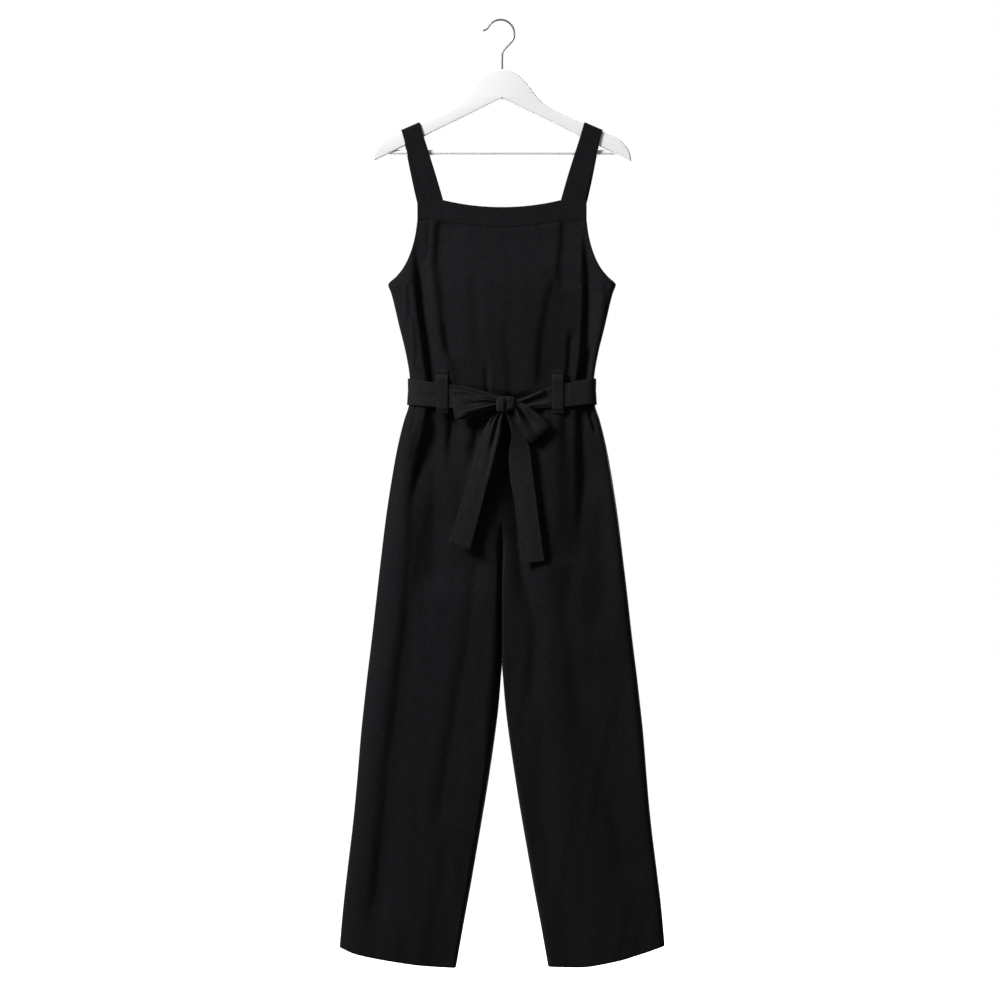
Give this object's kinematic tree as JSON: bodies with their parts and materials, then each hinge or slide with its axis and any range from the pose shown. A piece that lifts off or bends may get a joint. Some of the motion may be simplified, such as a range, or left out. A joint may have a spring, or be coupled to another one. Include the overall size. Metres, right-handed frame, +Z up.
{
  "type": "belted jumpsuit on a coat hanger",
  "caption": "Sleeveless wide-leg black jumpsuit with wide straps, a square neckline and a tied sash, hanging from a white wooden coat hanger.",
  "frame": {"origin": "inside of the hanger hook's crown, where the rail bears", "axes": "+Z up, the front faces -Y, +X to the viewer's right when seen from the front"},
  "size_m": [0.5535, 0.1013, 1.615],
  "materials": {
    "cloth": "black plain-woven crepe with a fine matt grain",
    "sash_cloth": "the same black crepe, doubled and pressed",
    "painted_wood": "smooth white satin paint",
    "steel": "polished bent wire"
  },
  "bodies": {
    "root": {"bodice_front": "cloth", "bodice_back": "cloth", "neck_band_front": "cloth", "neck_band_back": "cloth", "strap_left": "cloth", "strap_right": "cloth", "leg_front_left": "cloth", "leg_front_right": "cloth", "leg_back_left": "cloth", "leg_back_right": "cloth", "belt": "sash_cloth", "belt_loop_left": "cloth", "belt_loop_right": "cloth", "bow_knot": "sash_cloth", "bow_loop_left": "sash_cloth", "bow_loop_right": "sash_cloth", "belt_tail_left": "sash_cloth", "belt_tail_right": "sash_cloth", "hanger_wood": "painted_wood", "hanger_bar": "painted_wood", "hanger_hook": "steel"}
  },
  "joints": []
}
